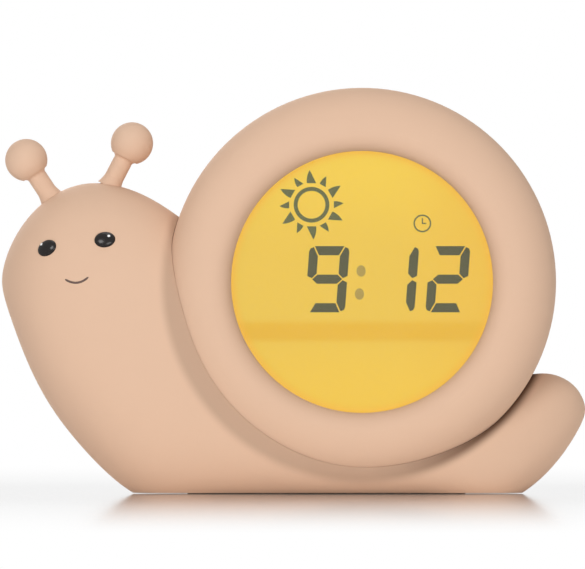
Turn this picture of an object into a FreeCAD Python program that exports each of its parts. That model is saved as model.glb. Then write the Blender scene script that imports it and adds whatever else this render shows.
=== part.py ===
import FreeCAD, Part
import math
import os

from FreeCAD import Matrix, Vector

# A snail-shaped alarm clock with a night light. Millimetres, +Z up, the front faces -Y.
# The origin is on the table, under the middle of the whole clock.

# Snail body
body_length = 160.0
head_height = 85.5
body_half_depth = 27.0
body_wall = 2.2
base_lift = 0.2

# Drum that stands in for the snail's shell
drum_radius = 53.1
drum_x = 18.7
under_drum = 4.9
front_reach = 30.0
rear_reach = 29.0
drum_wall = 2.2
rear_roll = 8.0
seam_gap = 0.12
tongue_length = 1.8
tongue_thickness = 1.1
tongue_gap = 0.1

# Display window and what lies behind it, from the front to the back
window_radius = 35.8
inner_roll = 5.4
lip_thickness = 1.0
lens_lap = 2.2
lens_gap = 0.15
lens_thickness = 1.5
lens_air = 0.4
lcd_lap = 3.9
lcd_thickness = 2.6
lcd_drop = 13.4
ink_thickness = 0.08
diffuser_thickness = 3.0
pocket_clearance = 0.3
collar_wall = 1.8
chamber_depth = 13.0
chamber_wall = 1.4
flange_thickness = 1.5
flange_reach = 1.2
ribbon_width = 20.0
ribbon_thickness = 0.3
lamp_side = 3.5
lamp_height = 1.4
lamp_ring = 22.0
lamp_count = 8
board_thickness = 1.6
board_gap = 9.4
main_board_radius = 40.0
link_pin_pitch = 2.54
link_pin_side = 0.64
link_pin_up = -34.0
link_pin_count = 5
chip_place = (-12.0, 8.0)
chip_side = 10.0
chip_height = 1.6
crystal_place = (6.0, 10.0)
crystal_size = (4.5, 11.0)
crystal_height = 3.5
capacitor_place = (22.0, 8.0)
capacitor_radius = 3.15
capacitor_height = 7.0
connector_up = 32.0
connector_height = 4.0
connector_depth = 1.8
main_post_places = ((-22.0, -30.0), (22.0, -30.0))
upper_post_up = 36.4
wire_radius = 0.5

# Figures on the display
digit_width = 11.0
digit_height = 18.1
digit_line = 2.5
digit_gap = 0.27
digit_corner = 1.2
digit_slant = 4.3
digit_base = 49.7
digit_places = ((3.0, "9"), (22.0, "1"), (36.0, "2"))
colon_place = (18.0, 61.0)
colon_step = 6.3
colon_radius = 1.25
sun_place = (4.9, 79.1)
sun_ring = (3.8, 4.88)
long_ray = (5.9, 9.5, 2.55)
short_ray = (6.1, 8.75, 1.9)
clock_place = (35.2, 74.0)
clock_ring = (2.02, 2.44)
hand_line = 0.34
hand_lengths = (1.05, 1.45)

# Feelers. A place is the distance behind the nose, the lean in degrees and the length.
ball_radius = 5.8
stem_radius = 2.65
flare_radius = 3.5
flare_height = 2.2
feeler_names = ("feeler_left", "feeler_right")
feeler_places = ((13.4, -33.5, 12.2), (29.8, 27.5, 12.7))
feeler_neck = 3.4
feeler_flange_thickness = 1.6
feeler_flange = 4.2
feeler_fit = 0.08

# Eyes. A place is behind the nose and below the head's top, with a tilt in degrees.
eye_places = ((12.5, 18.2, 10.0), (28.4, 15.9, 8.0))
eye_long = 2.83
eye_short = 2.26
eye_proud = 0.92
eye_sink = 0.12
eye_plug = 1.2
eye_fit = 0.06

# Keys on the rear
key_ring = 36.0
key_angles = (12.0, 34.0, 56.0, 124.0, 146.0, 168.0)
key_names = ("light", "wake", "set", "down", "up", "sound")
key_radius = 3.7
key_proud = 1.0
key_clearance = 0.2
key_flange_reach = 0.9
key_flange_thickness = 1.2
key_travel = 0.6
key_spare = 0.3
key_lip_gap = 0.2
plunger_grip = 1.0
switch_side = 6.0
switch_height = 3.5
plunger_radius = 1.7
plunger_fit = 0.1
key_board_ring = (30.2, 42.0)
key_board_angles = ((-24.0, 68.0), (112.0, 182.0))
key_board_names = ("key_board_left", "key_board_right")
key_post_ring = 32.5
key_post_angles = (23.0, 45.0, 135.0, 157.0)
key_post_radius = 2.0
key_wire_place = (33.0, 3.0)
key_wire_pitch = 2.0

# Power
cell_radius = 5.25
cell_length = 44.5
cell_spacing = 0.7
cell_gap = 0.3
cell_tip = (1.9, 0.8)
spring_length = 5.0
spring_margin = 1.05
spring_taper = 1.6
contact_thickness = 0.4
contact_margin = 0.75
bay_middle = -20.2
bay_wall = 1.2
door_thickness = 1.8
door_gap = 0.25
door_ledge = 0.8
hinge_radius = 0.7
hinge_fit = 0.06
hinge_reach = 1.55
tab_width = 10.0
tab_height = 6.2
door_screw_radius = 1.2
door_screw_head = (2.25, 1.1)
door_boss_radius = 2.7
seat_gap = 0.2
usb_angle = -14.0
usb_ring = 35.5
usb_size = (3.2, 8.94)
usb_wall = 0.3

# Speaker
speaker_radius = 13.5
speaker_rise = 18.2
slot_width = 1.6
slot_pitch = 3.6
slot_pairs = 3
speaker_rim = 1.3
speaker_depth = 6.0
magnet_radius = 8.2
magnet_height = 4.5
gasket_thickness = 0.6
speaker_cup = (3.2, 8.6)
speaker_wire_place = (7.0, 6.0)

# Screws
screw_radius = 1.4
screw_head_radius = 2.7
screw_head_height = 1.8
screw_clearance = 0.25
column_radius = 3.2
small_screw_radius = 1.0
small_head_radius = 1.8
small_head_height = 1.3
small_screw_clearance = 0.1
post_radius = 2.3
drum_column_inset = 6.6
drum_column_angles = (45.0, 135.0, 225.0, 315.0)
ear_offset = 3.6
ear_angles = (0.0, 180.0, 270.0)
board_lug_angles = (30.0, 150.0, 270.0)
head_screw_places = ((24.0, 32.5), (30.4, 61.5))
tail_screw_place = (12.8, 16.2)
body_seat_y = 4.0
drum_seat_y = 6.0
screw_end_y = -10.0

# Non-slip pad under the base
pad_length = 76.0
pad_middle = 9.0
pad_width = 18.0
pad_thickness = 0.8
pad_gap = 0.2

# Places that follow from the sizes above
half_length = body_length / 2
nose_x = -half_length
body_screw_places = [(nose_x + behind, head_height - below) for behind, below in head_screw_places]
body_screw_places += [(half_length - tail_screw_place[0], tail_screw_place[1])]
drum_z = drum_radius + under_drum
crest_radius = window_radius + inner_roll
outer_roll = drum_radius - crest_radius
crest_y = -front_reach
rear_y = rear_reach
inner_rear_y = rear_y - drum_wall
window_edge_y = crest_y + inner_roll
lens_y = window_edge_y + lip_thickness
lcd_y = lens_y + lens_thickness + lens_air
diffuser_y = lcd_y + lcd_thickness
collar_y = diffuser_y + diffuser_thickness
led_board_y = collar_y + chamber_depth
main_board_y = led_board_y + board_thickness + board_gap
lens_radius = window_radius + lens_lap
lcd_radius = window_radius + lcd_lap
pocket_radius = lcd_radius + pocket_clearance
collar_radius = pocket_radius + collar_wall
ear_ring = collar_radius + ear_offset
drum_column_ring = drum_radius - drum_column_inset
key_flange = key_radius + key_flange_reach
key_top_y = rear_y + key_proud
key_flange_y = inner_rear_y - key_lip_gap - key_flange_thickness
switch_y = key_flange_y - key_travel - key_spare
key_board_y = switch_y - switch_height - board_thickness
door_y = inner_rear_y + seat_gap
hinge_y = door_y + door_thickness / 2
cell_pitch = 2 * cell_radius + cell_spacing
bay_half_length = (cell_length + spring_length + 2 * contact_thickness + 0.2) / 2
bay_half_height = cell_pitch + cell_radius + cell_gap + 0.25
bay_depth = 2 * cell_radius + cell_gap + 0.8
bay_floor_y = inner_rear_y - bay_depth
cell_y = bay_floor_y + cell_gap + cell_radius
door_half_width = bay_half_length + door_ledge - door_gap
door_half_height = bay_half_height + door_ledge - door_gap
hinge_w = bay_middle - door_half_height + door_thickness / 2
tab_w = bay_middle + bay_half_height + door_ledge + tab_height / 2 - 1.5
door_screw_w = bay_middle + bay_half_height + bay_wall + 1.7

# Side view of the body, from the head's nose to the tail's tip, at equal turns of a half circle
# across its length. Each station has shares of the head height for the lowest and highest point,
# a share of the half depth, how high up the widest line lies, and how square the underside is.
stations = (
    (0.682, 0.682, 0.000, 0.50, 2.2),
    (0.552, 0.806, 0.430, 0.50, 2.2),
    (0.325, 0.930, 0.770, 0.50, 2.2),
    (0.126, 1.000, 0.945, 0.50, 2.4),
    (-0.030, 0.956, 1.000, 0.54, 3.0),
    (-0.012, 0.786, 1.000, 0.56, 4.0),
    (-0.006, 0.560, 1.000, 0.54, 4.6),
    (-0.006, 0.444, 0.980, 0.50, 4.6),
    (-0.006, 0.386, 0.900, 0.48, 4.4),
    (-0.034, 0.366, 0.740, 0.48, 3.6),
    (0.062, 0.388, 0.520, 0.48, 2.7),
    (0.186, 0.345, 0.270, 0.50, 2.2),
    (0.269, 0.269, 0.000, 0.50, 2.2),
)
points_round = 24
upper_squareness = 2.5


def on_drum(across, up, y):
    """Point at a place on the drum, measured from its axis."""
    return Vector(drum_x + across, y, drum_z + up)


def polar(radius, degrees):
    """Across and up for a place on a circle round the drum axis."""
    turn = math.radians(degrees)
    return radius * math.cos(turn), radius * math.sin(turn)


def rod(across, up, y_start, y_end, radius):
    """Round bar along the depth of the clock, placed from the drum axis."""
    return Part.makeCylinder(radius, y_end - y_start, on_drum(across, up, y_start), Vector(0, 1, 0))


def tube(across, up, y_start, y_end, inner, outer):
    """Ring along the depth of the clock, placed from the drum axis."""
    hole = rod(across, up, y_start - 1, y_end + 1, inner)
    return rod(across, up, y_start, y_end, outer).cut(hole)


def block(across, up, y_start, y_end, width, height):
    """Box centred on a place on the drum."""
    corner = on_drum(across - width / 2, up - height / 2, y_start)
    return Part.makeBox(width, y_end - y_start, height, corner)


def upright_slot(across, up, y_start, y_end, width, height):
    """Long hole or bar with round ends above and below."""
    straight = height - width
    shape = block(across, up, y_start, y_end, width, straight)
    for side in (-1, 1):
        shape = shape.fuse(rod(across, up + side * straight / 2, y_start, y_end, width / 2))
    return shape.removeSplitter()


def turned(start, *steps):
    """Solid turned about the drum axis. A step is a corner, or an arc's middle and its end."""
    def place(radius, y):
        return Vector(drum_x + radius, y, drum_z)

    edges = []
    here = place(*start)
    for step in steps + (start,):
        there = place(*step[-2:])
        if len(step) == 4:
            edges.append(Part.Arc(here, place(*step[:2]), there).toShape())
        elif there.distanceToPoint(here) > 1e-6:
            edges.append(Part.LineSegment(here, there).toShape())
        here = there
    face = Part.Face(Part.Wire(edges))
    return face.revolve(Vector(drum_x, 0, drum_z), Vector(0, -1, 0), 360)


def sector(inner, outer, y_start, y_end, first, last):
    """Part of a flat ring round the drum axis, between two angles."""
    corners = [on_drum(r, 0, y) for r, y in
               ((inner, y_start), (outer, y_start), (outer, y_end), (inner, y_end))]
    face = Part.Face(Part.makePolygon(corners + corners[:1]))
    axis_point = Vector(drum_x, 0, drum_z)
    face.rotate(axis_point, Vector(0, -1, 0), first)
    return face.revolve(axis_point, Vector(0, -1, 0), last - first)


def arc_middle(centre_radius, centre_y, radius, toward):
    """Middle of a quarter roll. toward gives the signs of its two directions."""
    reach = radius * math.sqrt(0.5)
    return centre_radius + toward[0] * reach, centre_y + toward[1] * reach


def drum_envelope(grow):
    """Closed outer form of the drum, grown evenly."""
    front_arc = arc_middle(crest_radius, crest_y + outer_roll, outer_roll + grow, (1, -1))
    rear_centre = (drum_radius - rear_roll, rear_y - rear_roll)
    rear_arc = arc_middle(*rear_centre, rear_roll + grow, (1, 1))
    return turned((0, crest_y - grow),
                  (crest_radius, crest_y - grow),
                  front_arc + (drum_radius + grow, crest_y + outer_roll),
                  (drum_radius + grow, rear_centre[1]),
                  rear_arc + (rear_centre[0], rear_y + grow),
                  (0, rear_y + grow))


def half_way(before, low, high, after):
    """Value midway between two stations on a smooth curve through four."""
    return (9 * (low + high) - before - after) / 16


def section_values():
    """Sections of the body at every half station, between its two tips."""
    first, last = stations[1], stations[-2]
    ghost_start = (first[1], first[0], -first[2], first[3], first[4])
    ghost_end = (last[1], last[0], -last[2], last[3], last[4])
    run = (ghost_start,) + stations + (ghost_end,)
    sections = []
    for index in range(1, len(run) - 2):
        if index > 1:
            sections.append(run[index])
        four = zip(run[index - 1], run[index], run[index + 1], run[index + 2])
        sections.append(tuple(half_way(*values) for values in four))
    return sections


def oval(x, section, inset):
    """Ring of points round one section of the body, the first one below."""
    low = section[0] * head_height + inset
    high = section[1] * head_height - inset
    depth = max(section[2] * body_half_depth - inset, 0.4)
    widest = low + (high - low) * section[3]
    swell = 1 + (2 * math.pi / points_round) ** 2 / 6
    ring = []
    for index in range(points_round):
        turn = 2 * math.pi * index / points_round
        out = abs(math.sin(turn))
        rise = abs(math.cos(turn))
        below = math.cos(turn) > 0
        power = section[4] if below else upper_squareness
        height = widest - low if below else high - widest
        reach = swell / ((out / depth) ** power + (rise / height) ** power) ** (1 / power)
        ring.append(Vector(x, -reach * math.sin(turn), widest - reach * math.cos(turn)))
    return ring


def body_form(inset):
    """Closed smooth form of the snail's body, or of the space inside its wall."""
    sections = section_values()
    reach = half_length - inset
    step = math.pi / (len(sections) + 1)
    rows = [oval(-reach * math.cos(step * (index + 1)), section, inset)
            for index, section in enumerate(sections)]
    for side, at_end in ((-1, 0), (1, -1)):
        station = stations[at_end]
        tip = Vector(side * reach, 0, station[0] * head_height)
        near = [Vector(tip.x, point.y / 3, tip.z + (point.z - tip.z) / 3) for point in rows[at_end]]
        ends = [[tip] * points_round, near]
        rows = ends + rows if side < 0 else rows + ends[::-1]
    knots = list(range(len(rows) - 2))
    multiplicities = [4] + [1] * (len(knots) - 2) + [4]
    round_knots = list(range(points_round + 1))
    surface = Part.BSplineSurface()
    surface.buildFromPolesMultsKnots(rows, multiplicities, [1] * (points_round + 1),
                                     knots, round_knots, False, True, 3, 3)
    solid = Part.Solid(Part.Shell([surface.toShape()]))
    if solid.Volume < 0:
        solid.reverse()
    return solid


def half_space(side):
    """Large box in front of the middle plane (-1) or behind it (1)."""
    reach = 4 * body_length
    corner = Vector(-reach / 2, 0 if side > 0 else -reach, -reach / 2)
    return Part.makeBox(reach, reach, reach, corner)


def above(height):
    """Large box above a level."""
    reach = 4 * body_length
    return Part.makeBox(reach, reach, reach, Vector(-reach / 2, -reach / 2, height))


def skin_point(form, x, z, direction):
    """Where a line from a place on the middle plane leaves the body."""
    start = Vector(x, 0, z)
    line = Part.LineSegment(start, start + direction * body_length).toShape()
    inside = line.common(form)
    return max((vertex.Point for vertex in inside.Vertexes), key=lambda p: (p - start).Length)


def outward(form, point):
    """Outward direction of the body's skin at a point on it."""
    face = form.Faces[0]
    u, v = face.Surface.parameter(point)
    normal = face.Surface.normal(u, v)
    return normal if normal.dot(point - Vector(point.x, 0, point.z * 0.9)) > 0 else -normal


def feeler_outline(length):
    """Half outline of a feeler, from its foot flange up to its ball, as edges."""
    flange_top = -feeler_neck
    foot = flange_top - feeler_flange_thickness
    neck_end = length - math.sqrt(ball_radius ** 2 - stem_radius ** 2) - 0.6
    meet = (ball_radius * math.cos(math.radians(50)), length - ball_radius * math.sin(math.radians(50)))
    side = (ball_radius * math.cos(0.3), length + ball_radius * math.sin(0.3))
    steps = [(0, foot), (feeler_flange, foot), (feeler_flange, flange_top), (stem_radius, flange_top),
             (stem_radius, -0.8), (flare_radius, -0.8),
             (stem_radius + 0.22, flare_height * 0.45, stem_radius, flare_height),
             (stem_radius, neck_end),
             ((stem_radius + meet[0]) / 2 - 0.35, (neck_end + meet[1]) / 2 + 0.28) + meet,
             side + (0, length + ball_radius)]
    edges = []
    here = Vector(steps[0][0], 0, steps[0][1])
    for step in steps[1:] + steps[:1]:
        there = Vector(step[-2], 0, step[-1])
        if len(step) == 4:
            edges.append(Part.Arc(here, Vector(step[0], 0, step[1]), there).toShape())
        else:
            edges.append(Part.LineSegment(here, there).toShape())
        here = there
    return edges


def feeler_parts(form, behind, lean, length):
    """A feeler, and the hole that it needs in the head."""
    base = skin_point(form, nose_x + behind, head_height * 0.6, Vector(0, 0, 1))
    turn = math.radians(lean)
    along = Vector(math.sin(turn), 0, math.cos(turn))

    def placed(shape):
        shape.rotate(Vector(0, 0, 0), Vector(0, 1, 0), lean)
        shape.translate(base)
        return shape

    def bar(radius, low, high):
        return placed(Part.makeCylinder(radius, high - low, Vector(0, 0, low)))

    face = Part.Face(Part.Wire(feeler_outline(length)))
    whole = placed(face.revolve(Vector(0, 0, 0), Vector(0, 0, 1), 360))
    collar = bar(feeler_flange + 1, -1.5, length + 2 * ball_radius)
    outside = whole.common(collar).cut(form)
    core = bar(stem_radius, -feeler_neck, flare_height)
    feeler = largest(outside.fuse([whole.cut(collar), core]).removeSplitter())
    flange_top = feeler_fit - feeler_neck
    pocket = bar(feeler_flange + feeler_fit, -feeler_neck - feeler_flange_thickness - feeler_fit, flange_top)
    hole = pocket.fuse(bar(stem_radius + feeler_fit, flange_top, flare_height))
    return feeler, hole


def stretched(shape, centre, axes, sizes):
    """A shape of unit size, stretched along three directions and moved to a place."""
    across, out, up = (axis * size for axis, size in zip(axes, sizes))
    return shape.transformGeometry(Matrix(across.x, out.x, up.x, centre.x,
                                          across.y, out.y, up.y, centre.y,
                                          across.z, out.z, up.z, centre.z,
                                          0, 0, 0, 1))


def eye_parts(form, behind, below, tilt):
    """Glossy oval bead of an eye with a plug under it, and the hole that it needs in the head."""
    point = skin_point(form, nose_x + behind, head_height - below, Vector(0, -1, 0))
    normal = outward(form, point)
    turn = math.radians(tilt)
    long_axis = Vector(math.cos(turn), 0, math.sin(turn))
    long_axis = (long_axis - normal * long_axis.dot(normal)).normalize()
    axes = (long_axis, normal, long_axis.cross(normal))
    centre = point - normal * eye_sink

    def disc(depth, height):
        return Part.makeCylinder(1, depth + height, Vector(0, -depth, 0), Vector(0, 1, 0))

    dome = Part.makeSphere(1, Vector(0, 0, 0), Vector(0, 1, 0), 0, 90, 360)
    bead = dome.fuse(disc(eye_plug / eye_proud, 0)).removeSplitter()
    eye = stretched(bead, centre, axes, (eye_long, eye_proud, eye_short))
    hole = disc(eye_plug + eye_fit, 3 * eye_proud)
    return eye, stretched(hole, centre, axes, (eye_long + eye_fit, 1, eye_short + eye_fit))


def make_body(parts):
    """The two body shells, the feelers, the eyes, the pad and the body's screws."""
    outer = body_form(0)
    inner = body_form(body_wall)
    cradle = drum_envelope(seam_gap + body_wall)
    cavity = inner.cut(cradle).common(above(base_lift + body_wall))
    solid = outer.common(above(base_lift)).cut(drum_envelope(seam_gap))
    shell = solid.cut(cavity)

    tools = []
    for name, place in zip(feeler_names, feeler_places):
        parts[name], hole = feeler_parts(outer, *place)
        tools.append(hole)
    for name, place in zip(("eye_left", "eye_right"), eye_places):
        parts[name], hole = eye_parts(outer, *place)
        tools.append(hole)
    tools.append(Part.makeBox(pad_length + 2 * pad_gap, pad_width + 2 * pad_gap, pad_thickness + 2,
                              Vector(pad_middle - pad_length / 2 - pad_gap, -pad_width / 2 - pad_gap, -2)))
    parts["base_pad"] = Part.makeBox(pad_length, pad_width, pad_thickness,
                                     Vector(pad_middle - pad_length / 2, -pad_width / 2, 0))

    front = shell.common(half_space(-1))
    rear = shell.common(half_space(1))
    screws = []
    for x, z in body_screw_places:
        across = x - drum_x
        up = z - drum_z
        front = front.fuse(rod(across, up, -body_half_depth, 0, column_radius).common(solid))
        front = front.cut(rod(across, up, screw_end_y - 0.5, 1, screw_radius))
        rear = rear.fuse(rod(across, up, 0, body_half_depth, column_radius + 1).common(solid))
        rear = rear.cut(rod(across, up, -1, body_seat_y + 1, screw_radius + screw_clearance))
        well = screw_head_radius + screw_clearance
        rear = rear.cut(rod(across, up, body_seat_y, 2 * body_half_depth, well))
        screws.append(screw(across, up, body_seat_y))
    for tool in tools:
        front = front.cut(tool)
        rear = rear.cut(tool)
    parts["body_front_shell"] = largest(front)
    parts["body_rear_shell"] = largest(rear)
    parts["body_screws"] = Part.makeCompound(screws)


def largest(shape):
    """The main solid of a shape, without crumbs that a cut leaves."""
    return max(shape.Solids, key=lambda solid: solid.Volume)


def screw(across, up, seat_y):
    """Pan-head screw driven in from the rear, with a cross slot."""
    shank = rod(across, up, screw_end_y, seat_y, screw_radius)
    head = rod(across, up, seat_y, seat_y + screw_head_height, screw_head_radius)
    head = head.makeFillet(0.6, [edge for edge in head.Edges if edge.CenterOfMass.y > seat_y + 1
                                 and edge.Length > 2 * screw_head_radius])
    slot_y = seat_y + screw_head_height - 0.9
    for width, height in ((0.6, 3.2), (3.2, 0.6)):
        head = head.cut(block(across, up, slot_y, slot_y + 2, width, height))
    return shank.fuse(head).removeSplitter()


def small_screw(across, up, seat_y, length, toward):
    """Board screw. toward is 1 where its head faces the rear, -1 where it faces the front."""
    low, high = sorted((seat_y, seat_y - toward * length))
    shank = rod(across, up, low, high, small_screw_radius)
    low, high = sorted((seat_y, seat_y + toward * small_head_height))
    return shank.fuse(rod(across, up, low, high, small_head_radius)).removeSplitter()


def make_ring(parts, outer_drum):
    """The wide rounded ring round the display, with its collar, columns and posts."""
    roll_y = crest_y + outer_roll
    inner_side = drum_radius - drum_wall
    tongue = inner_side + tongue_thickness
    inner_front_arc = arc_middle(crest_radius, window_edge_y, inner_roll, (-1, -1))
    outer_front_arc = arc_middle(crest_radius, roll_y, outer_roll, (1, -1))
    cavity_roll = outer_roll - drum_wall
    meet = math.acos((collar_radius - crest_radius) / cavity_roll)
    meet_y = roll_y - cavity_roll * math.sin(meet)
    cavity_arc = (crest_radius + cavity_roll * math.cos(meet / 2),
                  roll_y - cavity_roll * math.sin(meet / 2))
    rebate = lens_radius + lens_gap
    ring = turned((window_radius, window_edge_y),
                  inner_front_arc + (crest_radius, crest_y),
                  outer_front_arc + (drum_radius, roll_y),
                  (drum_radius, 0), (tongue, 0), (tongue, tongue_length), (inner_side, tongue_length),
                  (inner_side, roll_y),
                  cavity_arc + (collar_radius, meet_y),
                  (collar_radius, collar_y), (pocket_radius, collar_y),
                  (pocket_radius, lcd_y), (rebate, lcd_y), (rebate, lens_y),
                  (window_radius, lens_y))
    for angle in drum_column_angles:
        across, up = polar(drum_column_ring, angle)
        ring = ring.fuse(rod(across, up, crest_y, 0, column_radius).common(outer_drum))
        ring = ring.cut(rod(across, up, screw_end_y - 0.5, 1, screw_radius))
    for angle in ear_angles:
        across, up = polar(ear_ring, angle)
        ring = ring.fuse(rod(across, up, crest_y, collar_y, post_radius).common(outer_drum))
        ring = ring.cut(rod(across, up, collar_y - 6, collar_y + 1, small_screw_radius))
    ribbon_notch = block(0, pocket_radius, lcd_y + 0.6, collar_y + 1, ribbon_width + 2, 6.0)
    parts["ring_front"] = ring.cut(ribbon_notch)


def make_display(parts):
    """Lens, display glass with its figures, and the night light behind them."""
    parts["display_lens"] = rod(0, 0, lens_y, lens_y + lens_thickness, lens_radius)
    glass = rod(0, 0, lcd_y, diffuser_y - 0.05, lcd_radius)
    lower_cut = block(0, -lcd_drop - lcd_radius, lcd_y - 1, diffuser_y + 1, 4 * lcd_radius, 2 * lcd_radius)
    parts["lcd_panel"] = glass.cut(lower_cut)
    parts["light_diffuser"] = rod(0, 0, diffuser_y, collar_y, lcd_radius)

    flange_end = collar_y + flange_thickness
    chamber = tube(0, 0, collar_y, led_board_y, lcd_radius - chamber_wall, lcd_radius)
    chamber = chamber.fuse(tube(0, 0, collar_y, flange_end, lcd_radius - chamber_wall,
                                collar_radius + flange_reach))
    board_screws = []
    hole_radius = small_screw_radius + small_screw_clearance
    for angle in ear_angles:
        across, up = polar(ear_ring, angle)
        ear = rod(across, up, collar_y, flange_end, post_radius + 0.7)
        chamber = chamber.fuse(ear).cut(rod(across, up, collar_y - 1, flange_end + 1, hole_radius))
        board_screws.append(small_screw(across, up, flange_end, 6.0, 1))
    board_end = led_board_y + board_thickness
    board = rod(0, 0, led_board_y, board_end, lcd_radius + 0.5)
    for angle in board_lug_angles:
        across, up = polar(lcd_radius - chamber_wall - 1.8, angle)
        chamber = chamber.fuse(rod(across, up, led_board_y - 6, led_board_y, post_radius))
        chamber = chamber.cut(rod(across, up, led_board_y - 5, led_board_y + 1, small_screw_radius))
        board = board.cut(rod(across, up, led_board_y - 1, board_end + 1, hole_radius))
        board_screws.append(small_screw(across, up, board_end, 5.0, 1))
    parts["light_chamber"] = largest(chamber.removeSplitter())
    parts["led_board"] = board
    places = [(0, 0)] + [polar(lamp_ring, 360.0 * index / lamp_count) for index in range(lamp_count)]
    parts["night_light_leds"] = Part.makeCompound(
        [block(*place, led_board_y - lamp_height, led_board_y, lamp_side, lamp_side) for place in places])
    pins = [block(link_pin_pitch * (index - (link_pin_count - 1) / 2), link_pin_up,
                  led_board_y + board_thickness, main_board_y, link_pin_side, link_pin_side)
            for index in range(link_pin_count)]
    parts["board_link_pins"] = Part.makeCompound(pins)
    return board_screws


def extruded(points):
    """Flat figure on the front of the display glass, from its outline."""
    corners = [Vector(x, lcd_y - ink_thickness, z) for x, z in points]
    face = Part.Face(Part.makePolygon(corners + corners[:1]))
    return face.extrude(Vector(0, ink_thickness, 0))


def segment_outline(name):
    """Corners of one stroke of a seven-stroke figure, in its own cell."""
    w, h, t, g, c = digit_width, digit_height, digit_line, digit_gap, digit_corner
    m = h / 2
    if name == "g":
        return [(t / 2 + g / 2, m), (t + g, m + t / 2), (w - t - g, m + t / 2),
                (w - t / 2 - g / 2, m), (w - t - g, m - t / 2), (t + g, m - t / 2)]
    if name in "ad":
        shape = [(c + g, h), (w - c - g, h), (w - t - g, h - t), (t + g, h - t)]
    else:
        bend = c * (1 - math.sqrt(0.5))
        shape = [(w - c, h - g), (w - bend, h - bend - g), (w, h - c - g), (w, m + g + t / 4),
                 (w - t / 2, m + g), (w - t, m + t / 2 + g), (w - t, h - t - g)]
    if name in "cde":
        shape = [(x, h - z) for x, z in shape]
    if name in "ef":
        shape = [(w - x, z) for x, z in shape]
    return shape


def ring_figure(place, radii):
    """Flat round line on the display glass."""
    centre = Vector(place[0], lcd_y - ink_thickness, place[1])
    inner, outer = (Part.makeCylinder(r, ink_thickness, centre, Vector(0, 1, 0)) for r in radii)
    return outer.cut(inner)


def flame(place, degrees, base, tip, width):
    """One curved ray of the sun."""
    turn = math.radians(degrees)

    def at(along, aside):
        x = place[0] + along * math.sin(turn) + aside * math.cos(turn)
        z = place[1] + along * math.cos(turn) - aside * math.sin(turn)
        return Vector(x, lcd_y - ink_thickness, z)

    left, right = at(base, -width / 2), at(base, width / 2)
    point = at(tip, -width * 0.2)
    middle = (base + tip) / 2
    edges = [Part.LineSegment(left, right).toShape(),
             Part.Arc(right, at(middle, width * 0.16), point).toShape(),
             Part.Arc(point, at(middle, -width * 0.47), left).toShape()]
    return Part.Face(Part.Wire(edges)).extrude(Vector(0, ink_thickness, 0))


def make_symbols(parts):
    """Figures of the display: the time, the colon, a sun and a small clock."""
    strokes = {"9": "abcdfg", "1": "bc", "2": "abged"}
    lean = math.tan(math.radians(digit_slant))
    figures = []
    for left, digit in digit_places:
        for name in strokes[digit]:
            outline = [(left + x + z * lean, digit_base + z) for x, z in segment_outline(name)]
            figures.append(extruded(outline))
    for side in (0, 1):
        x = colon_place[0] + (0.45 if side else 0)
        z = colon_place[1] - colon_step * (1 - side)
        dot = Part.makeCylinder(colon_radius, ink_thickness, Vector(0, 0, 0), Vector(0, 1, 0))
        stretch = Matrix(1, 0, 0, x, 0, 1, 0, lcd_y - ink_thickness, 0, 0, 1.25, z, 0, 0, 0, 1)
        figures.append(dot.transformGeometry(stretch))
    figures.append(ring_figure(sun_place, sun_ring))
    for index in range(6):
        figures.append(flame(sun_place, 60.0 * index, *long_ray))
        figures.append(flame(sun_place, 60.0 * index + 30, *short_ray))
    figures.append(ring_figure(clock_place, clock_ring))
    x, z = clock_place
    reach, rise = hand_lengths
    half = hand_line / 2
    hands = [(x - half, z - half), (x + reach, z - half), (x + reach, z + half),
             (x + half, z + half), (x + half, z + rise), (x - half, z + rise)]
    figures.append(extruded(hands))
    parts["lcd_symbols"] = Part.makeCompound(figures)


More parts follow.
